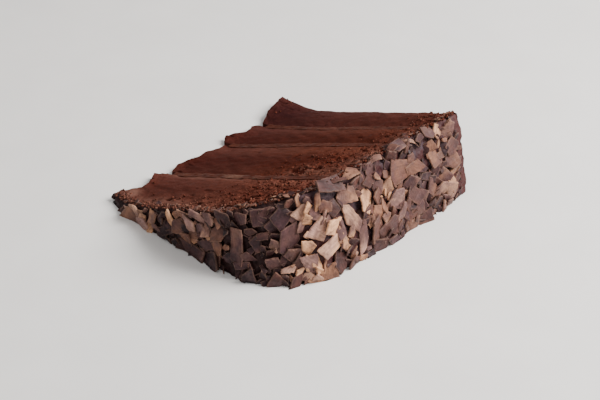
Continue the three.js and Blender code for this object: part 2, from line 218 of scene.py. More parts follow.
# Each kind's material, seed, thickness, grain of the edge, mean and spread of tones, and curl
FLAKE_KINDS = {
    "large_flakes": ("chocolate_flakes", 5, 0.85 * FLAKE_THICKNESS, 1.1, (0.52, 0.22), 0.02),
    "medium_flakes": ("chocolate_shards", 6, 0.8, 0.9, (0.36, 0.2), 0.02),
    "small_flakes": ("chocolate_chips", 7, 0.5, 0.8, (0.34, 0.22), 0.05),
    "curled_shavings": ("chocolate_shavings", 8, 0.4, 0.7, (0.3, 0.22), 0.12),
}
# How light the chips on the frosting's upper edge are at most, at lengths along the outline
CHIP_TONES = [(50, 0.6), (100, 0.75), (112, 0.4), (125, 0.45), (145, 0.65)]
# Section of a flake's rim from its under side up: inset in bevels and level in thicknesses
RIM_SECTION = [(1.6, -0.5), (0, -0.3), (0, 0.22), (1, 0.43), (2.6, 0.5)]
RIM_BEVEL = 0.22  # as a share of the thickness
NOISE_ROOM = 400  # each flake reads its noise somewhere else in this room

# Grain of the fine meshes, and rows of points from the plate up or through a thin piece
SPONGE_STEP = 0.45
SPONGE_ROWS = 30
ROW_CROWDING = 1.6  # of the sponge's rows towards the upper cut face
CREAM_ROWS = (8, 20)
COAT_STEP = 0.65
COAT_ROWS = 8
COAT_RISE = 36
SETTLING_PASSES = 6

CRUMB_OVERLAP = 0.75  # of each sponge layer over the cream beside it
CRUMB_RAGGEDNESS = 0.4  # of its edge there
FROSTING_OVERLAP = 0.7  # of the sponge into the frosting
CRUMB_GRAIN = 1.5
PORE_DEPTH = (0.3, 0.95)  # in dense and in open crumb
PORE_RARITY = (1.15, 0.17)
PORE_EDGE = 0.3
CREAM_LEVEL = -0.4  # of the cream over the even cut face
CREAM_RARITY = [0.25, 0.75, 0.62]  # how seldom light cream shows in each filling
PAINTED_GLINT = (42, 7)  # place and reach of a painted highlight, the lightest stretch of cream, in the first filling
COAT_SINK = 0.45  # of the frosting's even surface between its flakes
COAT_LUMPS = [(5, 0.6, 21), (2.2, 0.45, 22), (1.1, 0.3, 23)]  # their size, height and seed
FLAKE_BED = 0.7  # of the frosting under the flakes that have their place
EDGE_RADIUS = 2.2  # of the frosting's upper edge
SWIRL_HEIGHT = 1.5  # of the swirl of frosting at the cake's top edge
SWIRL_PLACE = (112, 0.95)
SWIRL_REACH = (3.5, 0.09)
# The side of the frosting gets painted reflection, and its top painted shade
SIDE_LOOK = (106, 12)  # where the frosting starts to look as on the side, and over what length
LOOSE_CRUMBS = 1800  # tried on each sponge layer
LOOSE_ON_FROSTING = 0.65  # as a share of those
LOOSE_SIZES = (0.22, 0.72)

# Colours in linear light, from the darker to the lighter
# The crumb's colours along its bands of painted light and shade, dense and open
DENSE_CRUMB = [(0.0, (0.046, 0.0098, 0.0062)), (1.0, (0.09, 0.029, 0.02))]
OPEN_CRUMB = [(0.0, (0.05, 0.01, 0.0052)), (1.0, (0.108, 0.0345, 0.0215))]
CRUMB_HUES = [(0.0, (1, 0.86, 0.7)), (0.5, (1, 1, 1)), (1.0, (0.96, 1, 1.28))]
# Paler crumb: painted light on the cut face, and paler loose crumbs
PALE_AND_LIT_CRUMB = (0.2, 0.098, 0.073)
CREAM = [(0.3, (0.044, 0.0122, 0.0075)), (0.7, (0.083, 0.0245, 0.0155))]
# Pale cream, and a painted highlight on it
PALE_CREAM_AND_GLINT = (0.2, 0.1, 0.068)
FROSTING = [
    (0.35, (0.028, 0.0042, 0.0052)),
    (0.55, (0.054, 0.015, 0.0155)),
    (0.75, (0.105, 0.044, 0.038)),
]
# Painted reflection on the frosting's side
FROSTING_REFLECTION = (0.058, 0.04, 0.05)
CRUMBED_FROSTING = (0.12, 0.046, 0.033)
SMEARED_FROSTING = (0.064, 0.0185, 0.0172)
FLAKES = [
    (0.0, (0.029, 0.0076, 0.0082)),
    (0.3, (0.087, 0.034, 0.0275)),
    (0.65, (0.22, 0.106, 0.069)),
    (1.0, (0.62, 0.35, 0.21)),
]
FLAKE_HUES = [(0.0, (1.08, 0.99, 0.9)), (0.35, (0.9, 0.88, 0.94)), (1.0, (0.66, 0.66, 0.94))]
SMEARED_FLAKE = (0.085, 0.04, 0.04)
# Painted highlight on the flakes' rims
FLAKE_RIM_HIGHLIGHT = [(0.35, (0.15, 0.073, 0.05)), (0.65, (0.42, 0.25, 0.165))]
FLOOR = [(0.3, (0.85, 0.835, 0.82)), (0.7, (0.89, 0.875, 0.86))]

# The camera's eye and aim, placed as the slice's points are
CAMERA_EYE = (542.3, -469.8, 449.0)
CAMERA_AIM = (68.5, 44.1, 11.0)
CAMERA_ROLL = math.radians(0.86)
CAMERA_LENS = 118.12
CAMERA_SENSOR = 36
# The lights, with place and size in metres, power in watts and colour
LIGHTS = [
    ("window", (0.5, 0.46, 0.62), 0.55, 20.5, (1, 0.97, 0.94)),
    ("fill", (0.1, -0.4, 0.9), 0.8, 2, (1, 1, 1)),
]
LIGHT_AIM = (0, 0, 0.02)
SURROUND = (1, 0.98, 0.96, 1)
SURROUND_STRENGTH = 0.36
FLOOR_REACH = 3

ORIGIN = np.array([
    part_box("sponge_2")[1].x / MM - SPONGE_RADIUS,
    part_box("sponge_4")[1].y / MM - STACK_HEIGHT,
    0,
])


def lerp(a, b, share):
    return a + (b - a) * share


def bell(away):
    """1 where away is 0, and close to 0 beyond 2."""
    return np.exp(-away ** 2)


def soft_max(a, b):
    ease = 2
    return (a + b + np.hypot(a - b, ease)) / 2


def face_height(distance, blunt):
    return soft_max(distance * math.sin(SLICE_ANGLE), blunt)


def top_dip(distance, depth):
    return depth * np.exp(-np.maximum(distance, 0) / DIP_REACH)


def seam_depth(seam, distance):
    wave = SEAM_WAVE * np.sin(distance / 12 + seam[0])
    return lerp(*seam, distance / SPONGE_RADIUS) + wave


def crag(x, y):
    return np.sin(x * 0.83 + 1.3 * np.sin(y * 0.47)) * np.cos(y * 0.71 + 1.1 * np.sin(x * 0.39))


def slice_point(distance, depth, share, height):
    """A point of the slice, share of the way up from the plate to the upper cut face."""
    return np.stack([distance * np.cos(share * SLICE_ANGLE), depth + 0 * share, share * height], -1)


# ---------- noise

def drawn_out(points, squeeze):
    """Points squeezed along the slice, so that noise read there is drawn out along it."""
    return points * np.array([squeeze, 1, 1])


def lattice_random(cells, seed):
    """A number from 0 to 1 for each whole-numbered cell of space."""
    mixed = cells[..., 0] * 374761393 + cells[..., 1] * 668265263 + cells[..., 2] * 1440662683
    mixed = (mixed + seed * 1274126177) & 0xFFFFFFFF
    mixed = ((mixed ^ (mixed >> 13)) * 1274126177) & 0xFFFFFFFF
    mixed = ((mixed ^ (mixed >> 16)) * 2246822519) & 0xFFFFFFFF
    return ((mixed ^ (mixed >> 15)) & 0xFFFFFF) / 0x1000000


def smooth_noise(points, size, seed):
    """Smooth noise from -1 to 1 with lumps of the given size."""
    scaled = points / size
    cell = np.floor(scaled).astype(np.int64)
    part = scaled - cell
    ease = part * part * (3 - 2 * part)
    total = 0
    for corner in np.ndindex(2, 2, 2):
        weight = np.prod(np.where(corner, ease, 1 - ease), -1)
        total = total + weight * lattice_random(cell + np.array(corner), seed)
    return 2 * total - 1


def nearest_grain(points, size, seed):
    """Distance, in grain sizes, to the nearest of points strewn one a cell, and that one's number."""
    scaled = points / size
    cell = np.floor(scaled).astype(np.int64)
    best = np.full(len(points), 9.0)
    number = np.zeros(len(points))
    for offset in np.ndindex(3, 3, 3):
        other = cell + np.array(offset) - 1
        centre = other + np.stack([lattice_random(other, seed + k) for k in range(3)], -1)
        distance = np.linalg.norm(scaled - centre, axis=-1)
        nearer = distance < best
        best = np.where(nearer, distance, best)
        number = np.where(nearer, lattice_random(other, seed + 3), number)
    return best, number


# ---------- meshes

def box_lattice(steps):
    """Points, each coordinate from 0 to 1, and faces of the surface of a box cut into steps."""
    counts = [n + 1 for n in steps]
    outside = np.zeros(counts, bool)
    for axis in range(3):
        ends = [slice(None)] * 3
        ends[axis] = [0, -1]
        outside[tuple(ends)] = True
    index = np.full(counts, -1)
    index[outside] = np.arange(outside.sum())
    points = np.argwhere(outside) / np.array(steps)
    faces = []
    for axis in range(3):
        for end in (0, -1):
            sheet = np.take(index, end, axis)
            corners = [sheet[:-1, :-1], sheet[1:, :-1], sheet[1:, 1:], sheet[:-1, 1:]]
            quads = np.stack(corners, -1).reshape(-1, 4)
            outward = (end == -1) != (axis == 1)
            faces.append(quads if outward else quads[:, ::-1])
    return points, np.concatenate(faces)


def point_normals(points, quads):
    across = points[quads[:, 2]] - points[quads[:, 0]]
    down = points[quads[:, 3]] - points[quads[:, 1]]
    normals = np.zeros_like(points)
    for corner in range(4):
        np.add.at(normals, quads[:, corner], np.cross(across, down))
    return normals / np.maximum(np.linalg.norm(normals, axis=1, keepdims=True), 1e-9)


def in_the_box(points):
    """Points of the slice, in millimetres, as places in the row's frame kept inside the solids' box."""
    placed = (points + ORIGIN) * MM
    return np.clip(placed, np.array(CAD_BOX[0]), np.array(CAD_BOX[1]))


def add_object(name, data):
    thing = bpy.data.objects.new(name, data)
    bpy.context.scene.collection.objects.link(thing)
    return thing


def add_mesh(name, points, faces, material, nodes=(), smooth=True, marks=None):
    """A piece of the slice from points in millimetres. marks are numbers for each point."""
    mesh = bpy.data.meshes.new(name)
    mesh.from_pydata(in_the_box(points).tolist(), [], [list(face) for face in faces])
    mesh.validate()
    mesh.polygons.foreach_set("use_smooth", [smooth] * len(mesh.polygons))
    for mark, values in (marks or {}).items():
        attribute = mesh.attributes.new(mark, "FLOAT", "POINT")
        attribute.data.foreach_set("value", np.asarray(values, np.float32))
    mesh.materials.append(material)
    piece = add_object(name, mesh)
    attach(piece, "root")
    if nodes:
        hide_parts(*nodes)
    return piece


# ---------- materials

class Nodes:
    """A short way to write a material's nodes."""

    def __init__(self, name):
        self.material = bpy.data.materials.new(name)
        self.material.use_nodes = True
        self.tree = self.material.node_tree
        self.shader = self.tree.nodes["Principled BSDF"]
        self.place = self.node("TexCoord").outputs["Object"]

    def feed(self, socket, value):
        """Link another node's output to a socket, or set its number, vector or colour."""
        if isinstance(value, bpy.types.NodeSocket):
            self.tree.links.new(value, socket)
        elif isinstance(value, tuple):
            socket.default_value = (*value, 1)[:len(socket.default_value)]
        else:
            socket.default_value = value

    def node(self, kind, **inputs):
        node = self.tree.nodes.new("ShaderNode" + kind)
        for name, value in inputs.items():
            self.feed(node.inputs[name], value)
        return node

    def stretched(self, scale, vector=None):
        return self.node("Mapping", Scale=scale, Vector=vector or self.place).outputs["Vector"]

    def noise(self, size, detail=3, roughness=0.6, vector=None):
        """Noise with lumps of the given size, in millimetres."""
        grain = {"Scale": 1 / (size * MM), "Detail": detail, "Roughness": roughness}
        return self.node("TexNoise", **grain, Vector=vector or self.place).outputs["Fac"]

    def cells(self, size):
        """Distance to the nearest of points strewn about the given size apart."""
        return self.node("TexVoronoi", Scale=1 / (size * MM), Vector=self.place).outputs["Distance"]

    def mark(self, name):
        """One of the numbers that add_mesh gives to the points."""
        node = self.node("Attribute")
        node.attribute_name = name
        return node.outputs["Fac"]

    def ramp(self, source, stops):
        """Colours, or plain numbers for greys, at stops along the source."""
        node = self.node("ValToRGB", Fac=source)
        elements = node.color_ramp.elements
        while len(elements) < len(stops):
            elements.new(0.5)
        for element, (position, colour) in zip(elements, stops):
            element.position = position
            element.color = (*colour, 1) if isinstance(colour, tuple) else (colour, colour, colour, 1)
        return node.outputs["Color"]

    def mix(self, kind, amount, a, b):
        node = self.node("Mix")
        node.data_type = "RGBA"
        node.blend_type = kind
        for index, value in ((0, amount), (6, a), (7, b)):
            self.feed(node.inputs[index], value)
        return node.outputs[2]

    def math(self, kind, a, b):
        node = self.node("Math")
        node.operation = kind
        for socket, value in zip(node.inputs, (a, b)):
            self.feed(socket, value)
        return node.outputs[0]

    def bump(self, height, strength, depth, under=None):
        """Bumps of the given depth in millimetres, over those of under."""
        node = self.node("Bump", Strength=strength, Distance=depth * MM, Height=height)
        if under:
            self.feed(node.inputs["Normal"], under)
        self.feed(self.shader.inputs["Normal"], node.outputs["Normal"])
        return node.outputs["Normal"]

    def finish(self, colour, roughness, specular=0.5):
        looks = {"Base Color": colour, "Roughness": roughness, "Specular IOR Level": specular}
        for name, value in looks.items():
            self.feed(self.shader.inputs[name], value)
        return self.material


def sponge_material():
    nodes = Nodes("chocolate_sponge_crumb")
    # Painted light and shade in bands across each layer
    dense = nodes.ramp(nodes.mark("band"), DENSE_CRUMB)
    base = nodes.mix("MIX", nodes.mark("coarse"), dense, nodes.ramp(nodes.mark("band"), OPEN_CRUMB))
    streaks = nodes.noise(4, 5, 0.65, nodes.stretched((0.15, 1, 1)))
    streaky = nodes.mix("MULTIPLY", 1, base, nodes.ramp(streaks, [(0.3, 0.82), (0.7, 1.18)]))
    grains = nodes.ramp(nodes.noise(1.2, 3, 0.7), [(0.35, (0.4, 0.2, 0.14)), (0.65, (1.55, 1.76, 1.9))])
    speckled = nodes.mix("MULTIPLY", nodes.math("MAXIMUM", nodes.mark("coarse"), 0.2), streaky, grains)
    # Painted highlights on the open crumb's grains
    grain_highlights = nodes.ramp(nodes.noise(2.4, 3), [(0.5, (1.03, 1.03, 1.03)), (0.68, (1.5, 1.46, 1.36))])
    mottled = nodes.mix("MULTIPLY", nodes.mark("coarse"), speckled, grain_highlights)
    tinted = nodes.mix("MULTIPLY", 1, mottled, nodes.ramp(nodes.mark("hue"), CRUMB_HUES))
    # Painted light at places on the cut face, then painted shade, darker and bluer
    paled_and_lit = nodes.mix("MIX", nodes.mark("paleness_and_painted_light"), tinted, PALE_AND_LIT_CRUMB)
    shaded_crumb = nodes.mix("MULTIPLY", nodes.mark("painted_shade"), paled_and_lit, (0.5, 0.5, 0.62))
    # Painted shade in the pores
    pore_shade = nodes.ramp(nodes.mark("pore"), [(0.0, (1, 1, 1)), (0.8, (0.36, 0.19, 0.15))])
    colour = nodes.mix("MULTIPLY", 1, shaded_crumb, pore_shade)
    coarse = nodes.bump(nodes.noise(1.1, 4, 0.7), 0.5, 0.4)
    nodes.bump(nodes.cells(0.45), 0.3, 0.2, coarse)
    return nodes.finish(colour, 0.95, 0.05)


def filling_material():
    nodes = Nodes("chocolate_cream")
    base = nodes.ramp(nodes.noise(3, 4, 0.6, nodes.stretched((0.2, 1, 1))), CREAM)
    # Pale cream, and a painted highlight in the first filling
    colour = nodes.mix("MIX", nodes.mark("cream"), base, PALE_CREAM_AND_GLINT)
    nodes.bump(nodes.noise(0.9, 3), 0.3, 0.2)
    roughness = nodes.ramp(nodes.noise(2), [(0.35, 0.5), (0.7, 0.75)])
    return nodes.finish(colour, roughness, 0.06)


def frosting_material():
    nodes = Nodes("dark_chocolate_frosting")
    base = nodes.ramp(nodes.noise(2.4, 5, 0.7), FROSTING)
    # Painted reflection: grey patches on the side of the cake
    patches = nodes.ramp(nodes.noise(7, 2), [(0.45, 0.0), (0.58, 0.7)])
    reflection_patches = nodes.math("MULTIPLY", patches, nodes.mark("side"))
    reflected_frosting = nodes.mix("MIX", reflection_patches, base, FROSTING_REFLECTION)
    # Painted shade: the top of the cake darker than its side
    top_shade = nodes.ramp(nodes.mark("side"), [(0.0, 0.4), (1.0, 0.95)])
    shaded = nodes.mix("MULTIPLY", 1, reflected_frosting, top_shade)
    crumbed = nodes.mix("MIX", nodes.mark("crumbed"), shaded, CRUMBED_FROSTING)
    colour = nodes.mix("MIX", nodes.mark("smeared"), crumbed, SMEARED_FROSTING)
    dabs = nodes.bump(nodes.noise(2.6, 2), 0.7, 0.8)
    nodes.bump(nodes.noise(0.7, 4), 0.5, 0.3, dabs)
    roughness = nodes.ramp(nodes.noise(2.5), [(0.35, 0.5), (0.7, 0.75)])
    return nodes.finish(colour, roughness, 0.2)


def flake_material(name):
    nodes = Nodes(name)
    base = nodes.ramp(nodes.mark("tone"), FLAKES)
    cooled = nodes.mix("MULTIPLY", 1, base, nodes.ramp(nodes.mark("cool"), FLAKE_HUES))
    grain = nodes.node("UVMap").outputs["UV"]
    streaks = nodes.noise(1, 4, 0.6, nodes.stretched((0.13 * MM, 1.3 * MM, MM), grain))
    streaky = nodes.mix("MULTIPLY", 0.52, cooled, nodes.ramp(streaks, [(0.32, 0.45), (0.66, 1.35)]))
    cloudy = nodes.ramp(nodes.noise(3.2, 4), [(0.3, 0.5), (0.7, 1.3)])
    clouded = nodes.mix("MULTIPLY", 0.75, streaky, cloudy)
    smears = nodes.ramp(nodes.noise(4.5, 4, 0.55), [(0.54, 0.0), (0.64, 0.5)])
    smeared = nodes.mix("MIX", smears, clouded, SMEARED_FLAKE)
    specks = nodes.ramp(nodes.cells(1.7), [(0.1, 0.35), (0.24, 1.0)])
    specked = nodes.mix("MULTIPLY", 0.45, smeared, specks)
    # Painted highlight along the flakes' rims
    rim_highlight = nodes.ramp(nodes.noise(0.8, 3), FLAKE_RIM_HIGHLIGHT)
    colour = nodes.mix("MIX", nodes.math("MULTIPLY", nodes.mark("rim_highlight"), 0.2), specked, rim_highlight)
    waves = nodes.bump(nodes.noise(3.5, 2), 0.8, 0.7)
    ridges = nodes.bump(streaks, 0.5, 0.2, waves)
    nodes.bump(nodes.noise(0.5, 3), 0.35, 0.15, ridges)
    roughness = nodes.ramp(nodes.noise(1.5), [(0.3, 0.5), (0.7, 0.75)])
    return nodes.finish(colour, roughness, 0.28)


# ---------- sponge and fillings

def coarseness(points):
    """How open the crumb is, from 0 to 1: most at the cake's top edge and along the frosting."""
    from_middle = (points[:, :2] - np.array(OPEN_MIDDLE)) / np.array(OPEN_MIDDLE_REACH)
    from_side = np.maximum(0.95 * SPONGE_RADIUS - points[:, 0], 0)
    from_top = np.maximum(points[:, 1] + 2, 0)
    from_tip = np.maximum(points[:, 0], 0)
    by_side = OPEN_BY_SIDE[0] * bell(from_side / OPEN_BY_SIDE[1])
    by_top = OPEN_BY_TOP[0] * np.exp(-from_top / OPEN_BY_TOP[1])
    at_tip = OPEN_AT_TIP[0] * np.exp(-from_tip / OPEN_AT_TIP[1])
    openness = bell(np.linalg.norm(from_middle, axis=1)) + by_side + by_top + at_tip
    return np.clip(openness, LEAST_OPEN, 1)


def crumb_relief(points):
    """Height of the crumb over its even surface, and how deep in a pore each point is, 0 to 1."""
    coarse = coarseness(points)
    grain, _ = nearest_grain(points, CRUMB_GRAIN, 11)
    lumps = 0.35 * (0.55 - grain) + 0.35 * smooth_noise(points, 3.5, 5)
    lumps += 0.25 * smooth_noise(points, 1.2, 31)
    streaked = drawn_out(points, 0.12)
    streaks = 0.14 * smooth_noise(streaked, 1.5, 6) + 0.06 * smooth_noise(streaked, 0.8, 7)
    relief = lumps * lerp(0.1, 1, coarse) + streaks
    long_pores = drawn_out(points, 0.42)
    hollows = 0.85 * smooth_noise(long_pores, 3, 51) + 0.9 * smooth_noise(long_pores, 1.3, 71)
    pore = np.clip((hollows - lerp(*PORE_RARITY, coarse ** 0.7)) / PORE_EDGE, 0, 1)
    return relief - lerp(*PORE_DEPTH, coarse) * pore, pore * lerp(0.45, 1, coarse)


def crumb_light_and_shade(points):
    """How much paler than its layer the crumb is painted as light, or darker as shade below 0."""
    light_and_shade = 0
    for distance, depth, reach_along, reach_down, amount in CRUMB_LIGHT_AND_SHADE:
        away = np.hypot((points[:, 0] - distance) / reach_along, (points[:, 1] - depth) / reach_down)
        light_and_shade = light_and_shade + amount * bell(away)
    return light_and_shade * (1 + 0.5 * smooth_noise(points, 2.5, 27))


def sponge_point_map(index, tips, blunt):
    """Where the points of a sponge layer's unit box go."""
    half = (FILLING_THICKNESS + GAP) / 2 - CRUMB_OVERLAP
    upper = SEAMS[index - 1] if index else None
    lower = SEAMS[index] if index < len(SEAMS) else None

    def place(along, across, share):
        tip = np.interp(across, np.linspace(0, 1, len(tips)), tips)
        distance = lerp(tip, SPONGE_RADIUS, along)
        for _ in range(SETTLING_PASSES):
            top = top_dip(distance, SPONGE_DIP) - FROSTING_OVERLAP
            near = seam_depth(upper, distance) + half if upper else top
            far = seam_depth(lower, distance) - half if lower else STACK_HEIGHT
            depth = lerp(near, far, across)
            side = SPONGE_RADIUS + FROSTING_OVERLAP - np.maximum(SPONGE_BEVEL - depth, 0)
            distance = lerp(tip, side, along)
        swell = SPONGE_CROWN * (0.5 - (2 * across - 1) ** 2)
        relief = swell + 0.4 * CRAG_DEPTH * crag(distance * 0.5, depth)
        height = face_height(distance, lerp(*blunt, across)) + relief
        return slice_point(distance, depth, share, height)

    return place


def crumbly(points, quads):
    """The points moved out by the crumb's relief, but for the cut face that lies on the plate."""
    relief, pore = crumb_relief(points)
    normals = point_normals(points, quads)
    moved = points + normals * relief[:, None]
    moved[:, 2] = np.maximum(moved[:, 2], 0)
    moved[points[:, 2] == 0, 2] = 0
    return moved, pore


def crumb_marks(index, points, across):
    """How the crumb of a layer looks at points that are some share of the way across it."""
    wavy = across + 0.07 * smooth_noise(drawn_out(points, 0.15), 5, 8)
    lighter_outwards = 0.1 * (points[:, 0] / SPONGE_RADIUS - 0.5)
    light_and_shade = crumb_light_and_shade(points)
    return {
        # band is painted light and shade across the layer, a little lighter towards the side
        "band": np.interp(wavy, *zip(*PAINTED_BANDS[index])) + lighter_outwards,
        "coarse": coarseness(points),
        "hue": np.interp(points[:, 0], *zip(*HUES[index])),
        # Painted light, and painted shade below 0
        "paleness_and_painted_light": np.clip(light_and_shade, 0, 1),
        "painted_shade": np.clip(-light_and_shade, 0, 1),
    }


def build_sponge(index, material):
    name, tips, blunt = SPONGES[index]
    upper = SEAMS[index - 1][1] if index else 0
    lower = SEAMS[index][1] if index < len(SEAMS) else STACK_HEIGHT
    steps = [round(SPONGE_RADIUS / SPONGE_STEP), round((lower - upper) / SPONGE_STEP), SPONGE_ROWS]
    box, quads = box_lattice(steps)
    share = 1 - (1 - box[:, 2]) ** ROW_CROWDING
    points = sponge_point_map(index, tips, blunt)(box[:, 0], box[:, 1], share)
    ragged = smooth_noise(points * np.array([0.4, 0.1, 0.1]), 2.5, 12 + index)
    points[:, 1] += CRUMB_RAGGEDNESS * ragged
    marks = crumb_marks(index, points, box[:, 1])
    points, marks["pore"] = crumbly(points, quads)
    add_mesh(name + "_crumb", points, quads, material, [name], marks=marks)


def pale_cream_and_glint(index, points, distance):
    """How much pale cream, with a painted highlight in the first filling, shows at each point of a
    filling.
    """
    patches = smooth_noise(drawn_out(points, 0.25), 2.5, 40 + index)
    place, reach = PAINTED_GLINT
    painted_glint = 0 if index else bell((distance - place) / reach)
    cream = np.clip(0.9 * patches - CREAM_RARITY[index] + painted_glint, 0, 0.6)
    return cream * (0.6 + 0.4 * smooth_noise(points, 0.9, 9))


def build_filling(index, material):
    half = (FILLING_THICKNESS + GAP) / 2
    box, quads = box_lattice([round(SPONGE_RADIUS / SPONGE_STEP), *CREAM_ROWS])
    distance = lerp(FILLING_TIP, SPONGE_RADIUS, box[:, 0])
    depth = seam_depth(SEAMS[index], distance) + lerp(-half, half, box[:, 1])
    relief = CREAM_LEVEL + 0.25 * CRAG_DEPTH * crag(distance, depth)
    height = face_height(distance, FILLING_BLUNT) + relief
    points = slice_point(distance, depth, box[:, 2], height)
    lumps = 0.2 * smooth_noise(drawn_out(points, 0.3), 1.6, 3) + 0.12 * smooth_noise(points, 0.9, 4)
    points[:, 2] += lumps * box[:, 2]
    name = f"filling_{index + 1}"
    marks = {"cream": pale_cream_and_glint(index, points, distance)}
    add_mesh(name + "_cream", points, quads, material, [name], marks=marks)


# ---------- frosting

SIDE_RADIUS = SPONGE_RADIUS + PLATE_FROSTING
ROUNDING_START = SPONGE_RADIUS - SPONGE_BEVEL
SIDE_START = ROUNDING_START + (SPONGE_BEVEL + PLATE_FROSTING) * math.pi / 2
OUTLINE_END = SIDE_START + STACK_HEIGHT - SPONGE_BEVEL
WHOLE_OUTLINE = (FLAKE_START, OUTLINE_END - FLAKE_END)


def coat_outside(length, share):
    """Distance, depth and turn of the frosting's outer side at a length along its outline."""
    thickness = lerp(PLATE_FROSTING, EDGE_FROSTING, share)
    rounded = np.clip((length - ROUNDING_START) / (SIDE_START - ROUNDING_START), 0, 1)
    turn = rounded * math.pi / 2
    flatness = CORNER_FLATNESS * share
    outward = lerp(np.sin(turn), rounded, flatness)
    upward = lerp(np.cos(turn), 1 - rounded, flatness)
    radius = SPONGE_BEVEL + thickness
    round_depth = SPONGE_BEVEL - radius * upward + np.maximum(length - SIDE_START, 0)
    belly = COAT_BELLY * (1 - share) * np.maximum(np.sin(math.pi * round_depth / STACK_HEIGHT), 0)
    on_top = length < ROUNDING_START
    distance = np.where(on_top, length, ROUNDING_START + (radius + belly) * outward)
    depth = np.where(on_top, top_dip(length, COAT_DIP) - thickness, round_depth)
    return distance, depth, turn


def coat_inside(length):
    """Distance and depth of the frosting's inner side at a length along its outline."""
    corner = GAP * (math.sqrt(2) - 1)
    top_end = ROUNDING_START + corner
    side = SPONGE_RADIUS + GAP
    bevel_end = SPONGE_BEVEL - corner
    stops = [0, ROUNDING_START, SIDE_START, OUTLINE_END]
    distance = np.interp(length, stops, [0, top_end, side, side])
    depth = np.interp(length, stops, [-GAP, -GAP, bevel_end, STACK_HEIGHT])
    on_top = length < ROUNDING_START
    return distance, np.where(on_top, top_dip(distance, SPONGE_DIP) - GAP, depth)


def rounded_edge(inward, below, radius):
    """Distances from the outer side and from the upper cut face, moved onto a rounded edge."""
    from_outside = np.minimum(inward, radius) - radius
    from_above = np.minimum(below, radius) - radius
    reach = np.maximum(np.hypot(from_outside, from_above), 1e-6)
    at_edge = (inward < radius) & (below < radius)
    moved_inward = np.where(at_edge, radius + radius * from_outside / reach, inward)
    moved_below = np.where(at_edge, radius + radius * from_above / reach, below)
    return moved_inward, moved_below


def within_coat(outside, inside, inward, share, lift=0):
    """Points a share of the way in from the outer to the inner side, and a share of the way up."""
    distance = lerp(outside[0], inside[0], inward)
    depth = lerp(outside[1], inside[1], inward)
    return slice_point(distance, depth, share, face_height(distance, COAT_BLUNT) + lift)


def coat_surface(length, inward, share):
    """Points of the even frosting, with shares inward and up that go round its upper edge."""
    outside = coat_outside(length, share)
    inside = coat_inside(length)
    thickness = np.maximum(np.hypot(outside[0] - inside[0], outside[1] - inside[1]), 0.5)
    height = face_height(outside[0], COAT_BLUNT)
    radius = np.minimum(EDGE_RADIUS, 0.6 * thickness)
    from_outside, from_above = rounded_edge(inward * thickness, (1 - share) * height, radius)
    inward = from_outside / thickness
    share = 1 - from_above / height
    return within_coat(outside, inside, inward, share), inward, share, height


def coat_relief(points, length, share, height):
    """Height of the frosting's lumps, lower under the flakes that have their place."""
    relief = -COAT_SINK
    for size, amount, seed in COAT_LUMPS:
        relief = relief + amount * smooth_noise(points, size, seed)
    for along, level, size, *_ in PLACED_FLAKES:
        away = np.hypot(length - along, (share - level) * height) / (PLACED_REACH * size)
        relief -= FLAKE_BED * bell(away)
    return relief


def build_frosting(material):
    box, quads = box_lattice([round(OUTLINE_END / COAT_STEP), COAT_ROWS, round(COAT_RISE / COAT_STEP)])
    length = box[:, 0] * OUTLINE_END
    points, inward, share, height = coat_surface(length, box[:, 1], box[:, 2])
    along = (length - SWIRL_PLACE[0]) / SWIRL_REACH[0]
    up = (share - SWIRL_PLACE[1]) / SWIRL_REACH[1]
    swirl = bell(np.hypot(along, up))
    relief = SWIRL_HEIGHT * swirl + coat_relief(points, length, share, height)
    grain, _ = nearest_grain(points, 1.3, 24)
    crumbed = np.clip(1.6 * (inward - 0.25) + 0.7 * smooth_noise(points, 2.5, 25), 0, 1) * (share > 0.9)
    relief = relief * (1 - 0.7 * inward) + crumbed * (0.3 - 0.6 * grain)
    points = points + point_normals(points, quads) * relief[:, None]
    points[:, 2] = np.where(box[:, 2] == 0, 0, np.maximum(points[:, 2], 0))
    smeared = np.clip((length - OUTLINE_END + 5) / 3 + 0.4 * smooth_noise(points, 3, 26), 0, 1)
    # Where the frosting looks as on the side: painted reflection there, painted shade on the top
    side = np.clip((length - SIDE_LOOK[0]) / SIDE_LOOK[1] + swirl, 0, 1)
    marks = {"crumbed": crumbed, "smeared": smeared, "side": side}
    add_mesh("frosting", points, quads, material, ["frosting_coat"], marks=marks)


# ---------- flakes

def seeded_random(seed):
    """The same random numbers as the solids' flakes are drawn with."""
    state = seed

    def draw():
        nonlocal state
        state = (state + 0x6D2B79F5) & 0xFFFFFFFF
        mixed = ((state ^ (state >> 15)) * (1 | state)) & 0xFFFFFFFF
        mixed = ((mixed + (mixed ^ (mixed >> 7)) * (61 | mixed)) ^ mixed) & 0xFFFFFFFF
        return (mixed ^ (mixed >> 14)) / 4294967296

    return draw


def shard_outline(length, width, draw, start=None):
    """A flake's four or five corners, turned at random unless start is given."""
    corners = 4 + int(2 * draw())
    if start is None:
        start = draw()
    outline = []
    for corner in range(corners):
        angle = (corner + start + CORNER_SHIFT * (draw() - 0.5)) / corners * 2 * math.pi
        reach = lerp(*CORNER_REACH, draw()) / 2 / math.cos(math.pi / corners)
        outline.append((length * reach * math.cos(angle), width * reach * math.sin(angle)))
    return np.array(outline)


def random_shard(size, draw):
    return shard_outline(size, size * lerp(*FLAKE_WIDTH, draw()), draw)


def coat_place(along, share, reach=0):
    """A place on the frosting, with the reach round it that other flakes stay out of."""
    across = share * face_height(coat_outside(along, share)[0], COAT_BLUNT)
    return {"along": along, "share": share, "across": across, "reach": reach}


